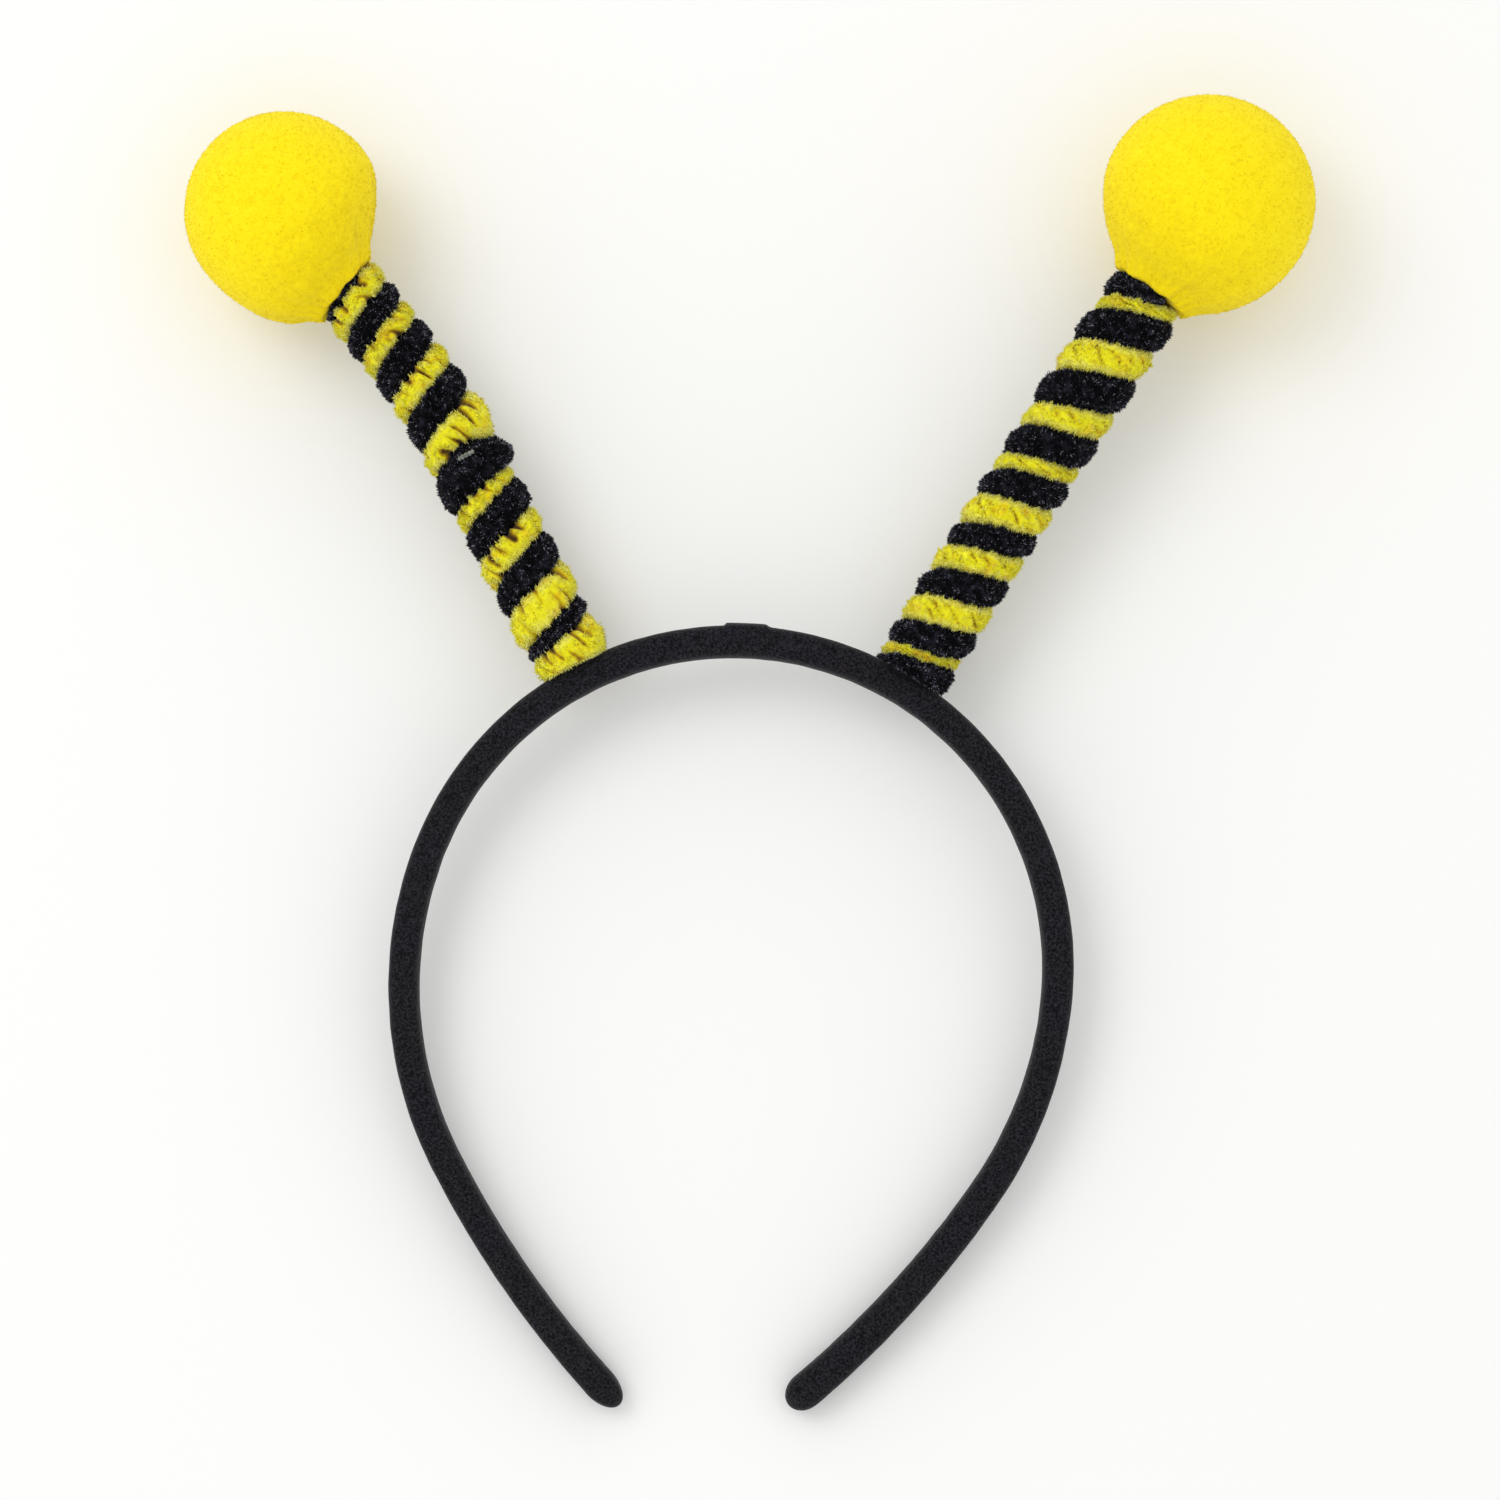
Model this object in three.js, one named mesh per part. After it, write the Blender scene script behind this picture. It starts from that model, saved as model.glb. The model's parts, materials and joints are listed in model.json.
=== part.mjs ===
// Bee antenna headband: a springy hoop sleeved in black cloth and open at the bottom,
// with two antennas wound from a black and a yellow chenille stem, each with a fleece ball on top.
// Millimetres and degrees. +Z is up and the headband lies on its back, balls towards +Y.
import * as THREE from 'three';

const clearance = 0.3; // between pieces that touch

// Hoop, as seen lying flat: its length runs from tip to tip, its thickness is across the ring
// and its width front to back. Its middle lies a little right of the crown's top.
const hoopLength = 395.5;
const middleOffset = 2.85;
const crownRadius = 62.6;
const hoopThickness = 6.2;
const hoopWidth = 8;
const hoopEdgeRadius = 2;
const tipLength = 5.8;
const hoopStep = 6.6;

// Each arm runs down from the crown: round top, tighter shoulder, nearly straight end.
// The taper gives its thickness and width as shares of the crown's, at shares of its length.
const rightArm = {
  side: 1,
  crownSweep: 94.4,
  shoulderRadius: 77.9,
  shoulderSweep: 29.9,
  endRadius: 193,
  taper: [
    { at: 0.0, thickness: 1.0, width: 1.0 },
    { at: 0.55, thickness: 0.95, width: 0.95 },
    { at: 0.72, thickness: 1.0, width: 0.92 },
    { at: 1.0, thickness: 1.1, width: 0.88 },
  ],
};
const leftArm = {
  side: -1,
  crownSweep: 68.9,
  shoulderRadius: 73.3,
  shoulderSweep: 47.8,
  endRadius: 193,
  taper: [
    { at: 0.0, thickness: 1.0, width: 1.0 },
    { at: 0.55, thickness: 0.94, width: 0.95 },
    { at: 1.0, thickness: 1.0, width: 0.88 },
  ],
};

// Where the cloth sleeve is lapped over and glued, just right of the crown
const lapCentre = 2.6;
const lapLength = 7.4;
const lapHeight = 0.5;
const lapSlope = 0.5;

// Antennas: a hidden post, the two stems wound side by side round it, and the ball
const postRadius = 2.7;
const stemWidth = 5.8;
const stemBulge = 0.26; // how much more a wide turn stands out, and a squeezed one draws in
const socketDepth = 12;
const gatherCount = 8;
const gatherDepth = 0.4;

// The root is an angle along the crown, and the bend is how far the stem turns outwards on its way.
// Each row of turns gives one turn of the winding: the width of its black and of its yellow
// stem at the front, from the hoop up, as shares of the antenna's length.
const rightAntenna = {
  name: 'right',
  rootAngle: 31.2,
  length: 86.7,
  coilRadius: 7.9,
  bend: 1.8,
  bendFrom: 0.1,
  bendTo: 0.95,
  ballRadius: 20.6,
  neckRadius: 9.0,
  neckDrop: 0.2,
  neckSlant: 0,
  turns: [
    { black: 0.039, yellow: 0.021 },
    { black: 0.064, yellow: 0.069 },
    { black: 0.068, yellow: 0.06 },
    { black: 0.058, yellow: 0.071 },
    { black: 0.068, yellow: 0.039 },
    { black: 0.074, yellow: 0.063 },
    { black: 0.088, yellow: 0.08 },
    { black: 0.079, yellow: 0.031 },
    { black: 0.081, yellow: 0.058 },
  ],
};
const leftAntenna = {
  name: 'left',
  rootAngle: -27.7,
  length: 84,
  coilRadius: 7.65,
  bend: -11.5,
  bendFrom: 0.58,
  bendTo: 0.84,
  ballRadius: 19.2,
  neckRadius: 8.1,
  neckDrop: 0.8,
  neckSlant: 17,
  turns: [
    { black: 0.0, yellow: 0.065 },
    { black: 0.039, yellow: 0.092 },
    { black: 0.073, yellow: 0.071 },
    { black: 0.07, yellow: 0.049 },
    { black: 0.1, yellow: 0.071 },
    { black: 0.074, yellow: 0.062 },
    { black: 0.067, yellow: 0.054 },
    { black: 0.054, yellow: 0.059 },
    { black: 0.06, yellow: 0.06 },
  ],
};

// Mesh fineness
const stepsPerTurn = 12;
const stemSides = 8;
const postSides = 12;
const ballSides = 32;
const ballRings = 9;
const tipRings = 4;
const lastTipAngle = 78;
const thinnestStem = 1.1;

const blackCloth = { color: 0x211f24, roughness: 0.9, metalness: 0 };
const blackChenille = { color: 0x14141c, roughness: 0.85, metalness: 0 };
const yellowChenille = { color: 0xdccc1e, roughness: 0.9, metalness: 0 };
const yellowFleece = { color: 0xfee720, roughness: 0.95, metalness: 0 };

const rad = THREE.MathUtils.degToRad;

// One closed body through rings of equal count, with a fan over each end.
function bodyThroughRings(rings, name, finish) {
  const count = rings[0].length;
  const points = rings.flat();
  const middleOf = (ring) => ring.reduce((sum, p) => sum.add(p), new THREE.Vector3()).divideScalar(count);
  const first = points.push(middleOf(rings[0])) - 1;
  const last = points.push(middleOf(rings[rings.length - 1])) - 1;
  const faces = [];
  for (let side = 0; side < count; side++) {
    const next = (side + 1) % count;
    for (let row = 0; row < rings.length - 1; row++) {
      const low = row * count;
      const high = low + count;
      faces.push([low + side, low + next, high + next], [low + side, high + next, high + side]);
    }
    const top = (rings.length - 1) * count;
    faces.push([first, next, side], [last, top + side, top + next]);
  }
  const geometry = new THREE.BufferGeometry().setFromPoints(points);
  geometry.setIndex(faces.flat());
  geometry.computeVertexNormals();
  const mesh = new THREE.Mesh(geometry, new THREE.MeshStandardMaterial(finish));
  mesh.name = name;
  return mesh;
}

// A flat path of stretches, each with its length and the angle that it turns through to the right.
function follow(stretches, distance) {
  const place = { across: 0, along: 0, heading: 0 };
  let left = distance;
  for (const { length, turn } of stretches) {
    const run = Math.min(left, length);
    const half = (turn * run) / length / 2;
    const chord = half === 0 ? run : (run * Math.sin(half)) / half;
    place.across += chord * Math.sin(place.heading + half);
    place.along += chord * Math.cos(place.heading + half);
    place.heading += 2 * half;
    left -= run;
  }
  return place;
}

// Straight-line reading of a table whose rows are placed by their "at" column.
function readTable(rows, at, column) {
  const next = Math.max(1, rows.findIndex((row) => row.at >= at));
  const [before, after] = [rows[next - 1], rows[next]];
  const share = (at - before.at) / (after.at - before.at);
  return THREE.MathUtils.lerp(before[column], after[column], share);
}

// Hoop

function armLength(arm) {
  return hoopLength / 2 + arm.side * middleOffset;
}

function armPlace(arm, distance) {
  const share = distance / armLength(arm);
  const crownLength = crownRadius * rad(arm.crownSweep);
  const shoulderLength = arm.shoulderRadius * rad(arm.shoulderSweep);
  const endLength = armLength(arm) - crownLength - shoulderLength;
  const place = follow(
    [
      { length: crownLength, turn: rad(arm.crownSweep) },
      { length: shoulderLength, turn: rad(arm.shoulderSweep) },
      { length: endLength, turn: endLength / arm.endRadius },
    ],
    distance
  );
  // The path starts at the crown heading sideways, so its "along" is the arm's x.
  return {
    middle: new THREE.Vector3(arm.side * place.along, crownRadius - place.across, 0),
    outward: new THREE.Vector3(arm.side * Math.sin(place.heading), Math.cos(place.heading), 0),
    thickness: hoopThickness * readTable(arm.taper, share, 'thickness'),
    width: hoopWidth * readTable(arm.taper, share, 'width'),
  };
}

// Section of the hoop: a rectangle with round edges, its outer face raised where the sleeve laps.
function hoopRing(place, roundness, raise) {
  const halfThickness = (place.thickness / 2) * roundness;
  const halfWidth = (place.width / 2) * roundness;
  const edge = hoopEdgeRadius * roundness;
  const ring = [];
  for (let corner = 0; corner < 4; corner++) {
    const outer = corner === 0 || corner === 3 ? 1 : -1;
    const front = corner < 2 ? 1 : -1;
    for (const turn of [0, 45, 90]) {
      const angle = rad(corner * 90 + turn);
      const depth = outer * (halfThickness - edge) + edge * Math.cos(angle);
      const across = front * (halfWidth - edge) + edge * Math.sin(angle);
      const raised = outer > 0 ? raise : 0;
      ring.push(place.middle.clone().addScaledVector(place.outward, depth + raised).setZ(across));
    }
  }
  return ring;
}

function makeHeadband() {
  const lapStart = lapCentre - lapLength / 2;
  const lapEnd = lapCentre + lapLength / 2;
  const stations = [
    { at: lapStart - lapSlope, raise: 0 },
    { at: lapStart, raise: lapHeight },
    { at: lapEnd, raise: lapHeight },
    { at: lapEnd + lapSlope, raise: 0 },
  ];
  for (const arm of [leftArm, rightArm]) {
    const from = arm.side > 0 ? lapEnd + lapSlope : -(lapStart - lapSlope);
    const run = armLength(arm) - tipLength - from;
    const steps = Math.round(run / hoopStep);
    for (let step = 1; step <= steps; step++) {
      stations.push({ at: arm.side * (from + (run * step) / steps), raise: 0 });
    }
    for (let ring = 1; ring <= tipRings; ring++) {
      const angle = rad((lastTipAngle * ring) / tipRings);
      const at = arm.side * (armLength(arm) - tipLength * (1 - Math.sin(angle)));
      stations.push({ at, raise: 0, roundness: Math.cos(angle) });
    }
  }
  stations.sort((a, b) => a.at - b.at);
  const rings = stations.map(({ at, raise, roundness = 1 }) => {
    const place = armPlace(at < 0 ? leftArm : rightArm, Math.abs(at));
    return hoopRing(place, roundness, raise);
  });
  return bodyThroughRings(rings, 'headband', blackCloth);
}

// Antennas. Each is made upright on its foot, y along the stem and z to the front.

function stemPlace(antenna, height) {
  const { length, bendFrom, bendTo, bend } = antenna;
  // The last stretch runs on past the neck, into the ball.
  const place = follow(
    [
      { length: bendFrom * length, turn: 0 },
      { length: (bendTo - bendFrom) * length, turn: rad(bend) },
      { length: 2 * length, turn: 0 },
    ],
    height
  );
  return {
    middle: new THREE.Vector3(place.across, place.along, 0),
    sideways: new THREE.Vector3(Math.cos(place.heading), -Math.sin(place.heading), 0),
    heading: place.heading,
  };
}

// A point beside the stem, at a height along it, a distance out and an angle round from the front.
function besideStem(antenna, height, out, angle) {
  const place = stemPlace(antenna, height);
  const point = place.middle.addScaledVector(place.sideways, out * Math.sin(angle));
  return point.setZ(out * Math.cos(angle));
}

function circle(sides, pointAt) {
  return Array.from({ length: sides }, (_, side) => pointAt((side / sides) * 2 * Math.PI));
}

function makePost(antenna) {
  const top = antenna.length + socketDepth - clearance;
  const steps = Math.round(top / hoopStep);
  const rings = [];
  for (let step = 0; step <= steps; step++) {
    const height = THREE.MathUtils.lerp(clearance, top, step / steps);
    rings.push(circle(postSides, (angle) => besideStem(antenna, height, postRadius, angle)));
  }
  return bodyThroughRings(rings, `${antenna.name}_post`, blackCloth);
}

// Heights of each stem's lower edge at the front of every turn, with a mean turn added at either end.
function windingEdges(antenna) {
  const black = [];
  const yellow = [];
  let height = 0;
  for (const turn of antenna.turns) {
    black.push(height);
    height += turn.black * antenna.length;
    yellow.push(height);
    height += turn.yellow * antenna.length;
  }
  const pitch = height / antenna.turns.length;
  return {
    black: [black[0] - pitch, ...black, height, height + pitch],
    yellow: [yellow[0] - pitch, ...yellow, height + pitch / 2],
  };
}

// Smooth reading of edge heights at a whole or part turn, where turn 0 is the second value.
function edgeAt(heights, turn) {
  const turns = heights.map((_, index) => index - 1);
  const curve = new THREE.CubicInterpolant(turns, heights, 1);
  return curve.evaluate(turn)[0];
}

function makeChenille(antenna, colour, finish) {
  const edges = windingEdges(antenna);
  const isBlack = colour === 'black';
  const slant = Math.tan(rad(antenna.neckSlant));
  const rings = [];
  for (let step = -stepsPerTurn; step <= antenna.turns.length * stepsPerTurn; step++) {
    const turn = step / stepsPerTurn;
    const angle = turn * 2 * Math.PI;
    const ceiling = (out) => antenna.length - clearance + slant * out * Math.sin(angle);
    const lower = Math.max(edgeAt(isBlack ? edges.black : edges.yellow, turn), clearance / 2);
    const over = isBlack ? edgeAt(edges.yellow, turn) : edgeAt(edges.black, turn + 1);
    const upper = Math.min(over, ceiling(antenna.coilRadius));
    const halfHeight = (upper - lower - clearance) / 2;
    if (2 * halfHeight < thinnestStem) {
      continue;
    }
    const inner = postRadius + clearance;
    const swell = 1 + stemBulge * ((upper - lower) / stemWidth - 1);
    const depth = (antenna.coilRadius - inner) * swell;
    rings.push(
      circle(stemSides, (around) => {
        const out = inner + (depth / 2) * (1 + Math.cos(around));
        const height = (lower + upper) / 2 - halfHeight * Math.sin(around);
        return besideStem(antenna, Math.min(height, ceiling(out)), out, angle);
      })
    );
  }
  return bodyThroughRings(rings, `${antenna.name}_${colour}_chenille`, finish);
}

// The ball is made round its own centre. Its cover is gathered into a short neck over the winding.
function makeBall(antenna) {
  const { ballRadius, neckRadius, neckDrop, length } = antenna;
  const neckDepth = ballRadius + neckDrop;
  const slant = Math.tan(rad(antenna.neckSlant));
  const neckAngle = Math.atan2(neckRadius, neckDepth);
  const tangent = neckAngle + Math.acos(ballRadius / Math.hypot(neckRadius, neckDepth));
  const socketRadius = postRadius + clearance;
  const rows = [
    { radius: socketRadius, height: socketDepth - neckDepth, low: 0, fold: 0 },
    { radius: socketRadius, height: -neckDepth, low: 1, fold: 0 },
    { radius: neckRadius, height: -neckDepth, low: 1, fold: 1 },
  ];
  for (let ring = ballRings; ring > 0; ring--) {
    const angle = ((Math.PI - tangent) * ring) / ballRings;
    const height = ballRadius * Math.cos(angle);
    const low = THREE.MathUtils.smoothstep(-height, 0, neckDepth);
    rows.push({ radius: ballRadius * Math.sin(angle), height, low, fold: low });
  }
  const rings = rows.map(({ radius, height, low, fold }) =>
    circle(ballSides, (angle) => {
      const out = radius - gatherDepth * fold * (0.5 + 0.5 * Math.cos(gatherCount * angle));
      const side = out * Math.sin(angle);
      return new THREE.Vector3(side, height + low * slant * side, out * Math.cos(angle));
    })
  );
  const ball = bodyThroughRings(rings, `${antenna.name}_ball`, yellowFleece);
  const place = stemPlace(antenna, length + neckDepth);
  ball.position.copy(place.middle);
  ball.rotation.z = -place.heading;
  return ball;
}

// Lying on its back, the headband rests on the ends of its arms and on both balls.
// The surface is a line in the view from the side, through the arm's end and under the ball.
function footOf(antenna) {
  const arm = antenna.rootAngle > 0 ? rightArm : leftArm;
  const place = armPlace(arm, crownRadius * rad(Math.abs(antenna.rootAngle)));
  return place.middle.addScaledVector(place.outward, place.thickness / 2);
}

function ballCentre(antenna) {
  const place = stemPlace(antenna, antenna.length + antenna.ballRadius + antenna.neckDrop);
  const turned = place.middle.applyAxisAngle(new THREE.Vector3(0, 0, 1), -rad(antenna.rootAngle));
  return turned.add(footOf(antenna));
}

const armEnd = armPlace(rightArm, armLength(rightArm) - tipLength);
const ballReach = ballCentre(rightAntenna).y - armEnd.middle.y;
const endDrop = armEnd.width / 2;
const slope =
  Math.asin(rightAntenna.ballRadius / Math.hypot(ballReach, endDrop)) - Math.atan2(endDrop, ballReach);

// How far an antenna leans back so that its ball reaches the same surface.
function leanBack(antenna) {
  const centre = ballCentre(antenna);
  const surface = -endDrop - (centre.y - armEnd.middle.y) * Math.tan(slope);
  const rise = surface + antenna.ballRadius / Math.cos(slope);
  return Math.asin(rise / centre.distanceTo(footOf(antenna)));
}

function makeAntenna(antenna) {
  const upright = new THREE.Group();
  upright.add(makePost(antenna));
  upright.add(makeChenille(antenna, 'black', blackChenille));
  upright.add(makeChenille(antenna, 'yellow', yellowChenille));
  upright.add(makeBall(antenna));
  upright.rotation.x = leanBack(antenna);
  const onHoop = new THREE.Group();
  onHoop.add(upright);
  onHoop.position.copy(footOf(antenna));
  onHoop.rotation.z = -rad(antenna.rootAngle);
  return onHoop;
}

const headpiece = new THREE.Group();
headpiece.add(makeHeadband());
headpiece.add(makeAntenna(rightAntenna));
headpiece.add(makeAntenna(leftAntenna));
headpiece.rotation.x = slope;

// The origin is the middle of the underside.
const lying = new THREE.Group();
lying.add(headpiece);
const box = new THREE.Box3().setFromObject(lying, true);
headpiece.position.set(-(box.min.x + box.max.x) / 2, -(box.min.y + box.max.y) / 2, -box.min.z);

export default lying;
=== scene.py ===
import json
import math

import bpy
import numpy as np
from mathutils import Matrix, Vector


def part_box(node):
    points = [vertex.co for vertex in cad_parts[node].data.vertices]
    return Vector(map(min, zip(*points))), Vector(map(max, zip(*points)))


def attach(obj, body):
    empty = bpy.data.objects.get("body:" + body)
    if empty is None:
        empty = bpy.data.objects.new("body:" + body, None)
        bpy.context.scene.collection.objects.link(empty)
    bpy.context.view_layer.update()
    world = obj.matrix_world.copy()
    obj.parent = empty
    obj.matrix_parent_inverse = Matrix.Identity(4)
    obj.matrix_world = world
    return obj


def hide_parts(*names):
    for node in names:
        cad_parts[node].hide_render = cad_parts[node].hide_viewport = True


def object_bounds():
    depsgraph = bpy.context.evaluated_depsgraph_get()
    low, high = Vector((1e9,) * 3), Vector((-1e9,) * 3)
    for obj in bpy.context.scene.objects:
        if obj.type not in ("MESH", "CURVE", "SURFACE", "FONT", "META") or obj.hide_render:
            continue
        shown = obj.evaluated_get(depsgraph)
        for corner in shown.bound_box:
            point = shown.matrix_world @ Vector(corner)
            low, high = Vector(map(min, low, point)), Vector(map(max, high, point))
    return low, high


# Bee antenna headband: a springy hoop in a black cloth sleeve, with two antennas wound from a black
# and a yellow chenille stem and a fleece ball on each. Metres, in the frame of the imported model.
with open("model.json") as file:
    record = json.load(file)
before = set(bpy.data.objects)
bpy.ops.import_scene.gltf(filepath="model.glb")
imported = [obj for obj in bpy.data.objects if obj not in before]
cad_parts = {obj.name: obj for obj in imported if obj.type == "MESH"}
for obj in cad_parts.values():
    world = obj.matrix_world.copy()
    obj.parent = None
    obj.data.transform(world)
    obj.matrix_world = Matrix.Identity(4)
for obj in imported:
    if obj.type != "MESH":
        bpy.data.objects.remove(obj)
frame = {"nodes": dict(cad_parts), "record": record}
cad_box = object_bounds()

# Camera
# The headband lies on its back and is seen square on to its hoop, as a flat lay is. The long lens
# keeps the balls, which stand higher than the hoop, at their true size beside it.
lens_mm = 135.0
sensor_mm = 36.0
height_in_frame = 0.88

seat_axis = frame["record"]["mounts"][0]["axis"]
slope = math.atan(seat_axis[2] / seat_axis[1])
square_on = Vector((0, -math.sin(slope), math.cos(slope)))
middle_of_part = (cad_box[0] + cad_box[1]) / 2
camera_distance = (cad_box[1].y - cad_box[0].y) / height_in_frame * lens_mm / sensor_mm

camera_data = bpy.data.cameras.new("camera")
camera_data.lens = lens_mm
camera_data.sensor_width = sensor_mm
camera = bpy.data.objects.new("camera", camera_data)
camera.location = middle_of_part + square_on * camera_distance
camera.rotation_euler = (slope, 0, 0)
bpy.context.scene.collection.objects.link(camera)
bpy.context.scene.camera = camera


# Floor
# A plain pale board with a faint grain, a hair under the headband. It is the stage, and not a part of
# the object.
floor_size = 8.0
floor_drop = 0.0001
board_grain_size = 0.004
board_grain_depth = 0.00002


def paint(red, green, blue):
    """A colour, 0 to 255, as the shaders take it, by the usual curve for screens."""
    tones = [tone / 255 for tone in (red, green, blue)]
    linear = [tone / 12.92 if tone <= 0.04045 else ((tone + 0.055) / 1.055) ** 2.4 for tone in tones]
    return (*linear, 1.0)


class Finish:
    """A material and its nodes. Each node is given its settings first and then what its sockets take."""

    def __init__(self, name, **sockets):
        self.material = bpy.data.materials.new(name)
        self.material.use_nodes = True
        self.tree = self.material.node_tree
        self.surface = self.tree.nodes["Principled BSDF"]
        self.coat(**sockets)

    def coat(self, **sockets):
        """Sets or links sockets of the surface, with _ for the spaces in their names."""
        for name, value in sockets.items():
            self.feed(self.surface.inputs[name.replace("_", " ")], value)

    def feed(self, socket, value):
        if isinstance(value, Wire):
            self.tree.links.new(value.output, socket)
        else:
            socket.default_value = value

    def node(self, kind, settings=None, sockets=None, output=0):
        made = self.tree.nodes.new("ShaderNode" + kind)
        for name, value in (settings or {}).items():
            if name == "stops":
                self.set_stops(made.color_ramp, value)
            else:
                setattr(made, name, value)
        for name, value in (sockets or {}).items():
            self.feed(made.inputs[name], value)
        return Wire(self, made.outputs[output])

    def set_stops(self, ramp, stops):
        while len(ramp.elements) < len(stops):
            ramp.elements.new(1.0)
        for element, (place, colour) in zip(ramp.elements, stops):
            element.position = place
            element.color = colour

    def reading(self, name):
        """A value that the mesh carries at its points."""
        return self.node("Attribute", {"attribute_name": name}, output="Fac")

    def noise(self, size, detail=2.0):
        """Soft random values, about 0.2 to 0.8, that change over the given size."""
        place = self.node("TexCoord", output="Object")
        return self.node("TexNoise", {}, {"Vector": place, "Scale": 1 / size, "Detail": detail})

    def broken_shade(self, size, spread, detail=2.0):
        """The shade that the mesh carries, broken up by noise of the given size."""
        return self.reading("shade") + self.noise(size, detail) * spread - spread / 2

    def ramp(self, shade, stops):
        """The colour for a shade, from stops of (shade, colour)."""
        return self.node("ValToRGB", {"stops": stops}, {"Fac": shade})

    def mix(self, share, one, other):
        """One colour at share 0 and the other at share 1. Here the sockets go by number."""
        return self.node("Mix", {"data_type": "RGBA"}, {0: share, 6: one, 7: other}, output=2)

    def relief(self, height, depth):
        """A bump that is depth high where the height is 1."""
        self.coat(Normal=self.node("Bump", {}, {"Height": height, "Distance": depth}))


class Wire:
    """What comes out of a node. Sums on it add Math nodes."""

    def __init__(self, finish, output):
        self.finish = finish
        self.output = output

    def maths(self, operation, one, other=0.0):
        return self.finish.node("Math", {"operation": operation}, {0: one, 1: other})

    def __add__(self, other):
        return self.maths("ADD", self, other)

    def __radd__(self, other):
        return self.maths("ADD", other, self)

    def __sub__(self, other):
        return self.maths("SUBTRACT", self, other)

    def __rsub__(self, other):
        return self.maths("SUBTRACT", other, self)

    def __mul__(self, other):
        return self.maths("MULTIPLY", self, other)

    def __rmul__(self, other):
        return self.maths("MULTIPLY", other, self)

    def sine(self):
        return self.maths("SINE", self)

    def clamped(self):
        return self.maths("MINIMUM", self.maths("MAXIMUM", self, 0.0), 1.0)

    def sharpened(self, gain, cut):
        """The value times the gain, less the cut, kept between 0 and 1."""
        return (self * gain - cut).clamped()


pale_board = Finish("pale_board", Base_Color=paint(246, 246, 245), Roughness=0.9, Specular_IOR_Level=0.1)
pale_board.relief(pale_board.noise(board_grain_size), board_grain_depth)

half = floor_size / 2
floor_mesh = bpy.data.meshes.new("floor")
floor_corners = [(-half, -half), (half, -half), (half, half), (-half, half)]
floor_mesh.from_pydata([(x, y, -floor_drop) for x, y in floor_corners], [], [(0, 1, 2, 3)])
floor_mesh.materials.append(pale_board.material)
floor = bpy.data.objects.new("floor", floor_mesh)
bpy.context.scene.collection.objects.link(floor)


# Lights
# A white tent all round, and one large soft lamp from the upper left that gives the pile its shape.
tent_strength = 0.94
lamp_size = 0.9
lamp_power = 4.4
lamp_place = Vector((-0.75, 0.55, 1.25))

tent = bpy.data.worlds.new("white_tent")
tent.use_nodes = True
tent.node_tree.nodes["Background"].inputs["Color"].default_value = (1, 1, 1, 1)
tent.node_tree.nodes["Background"].inputs["Strength"].default_value = tent_strength
bpy.context.scene.world = tent
bpy.context.scene.view_settings.view_transform = "Standard"

lamp_data = bpy.data.lights.new("soft_lamp", "AREA")
lamp_data.shape = "DISK"
lamp_data.size = lamp_size
lamp_data.energy = lamp_power
lamp = bpy.data.objects.new("soft_lamp", lamp_data)
lamp.location = lamp_place
lamp.rotation_euler = (-lamp_place).to_track_quat("-Z", "Y").to_euler()
bpy.context.scene.collection.objects.link(lamp)


# Headband
# A springy plastic hoop in a sleeve of black cloth. The sleeve is glued down along the inside, lapped
# over itself just right of the crown and drawn in round both ends.
hoop_length = 0.3955
middle_offset = 0.00285
crown_radius = 0.0626
hoop_thickness = 0.0062
hoop_width = 0.008
corner_power = 3.8

# The right arm is 1 and the left arm is -1. Sweeps are in degrees, and the section's thickness and
# width are shares of the hoop's, at the shares of the arm's length in taper_at.
arms = {
    1: {
        "crown_sweep": 94.4,
        "shoulder_radius": 0.0779,
        "shoulder_sweep": 29.9,
        "end_radius": 0.193,
        "tip_length": 0.0046,
        "taper_at": (0, 0.55, 0.72, 1),
        "thickness": (1, 0.95, 1, 1.1),
        "width": (1, 0.95, 0.92, 0.88),
    },
    -1: {
        "crown_sweep": 68.9,
        "shoulder_radius": 0.0733,
        "shoulder_sweep": 47.8,
        "end_radius": 0.193,
        "tip_length": 0.0058,
        "taper_at": (0, 0.55, 1),
        "thickness": (1, 0.94, 1),
        "width": (1, 0.95, 0.88),
    },
}
lap_centre = 0.0026
lap_length = 0.0074
lap_height = 0.0005
lap_slope = 0.0005
seam_height = 0.00022
seam_softness = 0.00012
seam_fade = 0.0016
pleat_count = 9
pleat_depth = 0.00022
sleeve_waves = 0.00003
hoop_step = 0.00055
hoop_sides = 52
tip_rings = 12
tip_closing = 86  # degrees
face_edge = 0.5  # cosine of the angle where the outer or the inner face of the band ends
cloth_wave_size = 0.005
thread_pitch = 0.00046
weave_contrast, nap_contrast, cloth_dark = 0.3, 3.0, 1.3
weave_relief = 0.6
weave_depth = 0.00008
nap_size = 0.00045
fade_size = 0.015
fade_share = 0.5
between_threads = paint(4, 3, 6)
cloth_black = paint(45, 43, 47)
faded_black = paint(45, 45, 59)


def flat_path(stretches, steps=300):
    """Distance, way ahead, way aside and heading along stretches of (length, degrees turned)."""
    length = np.repeat([stretch[0] / steps for stretch in stretches], steps)
    turn = np.repeat([math.radians(stretch[1]) / steps for stretch in stretches], steps)
    heading = np.append(0, np.cumsum(turn))
    middle = (heading[1:] + heading[:-1]) / 2
    ahead = np.append(0, np.cumsum(length * np.cos(middle)))
    aside = np.append(0, np.cumsum(length * np.sin(middle)))
    return np.append(0, np.cumsum(length)), ahead, aside, heading


def arm_length(side):
    return hoop_length / 2 + side * middle_offset


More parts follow.
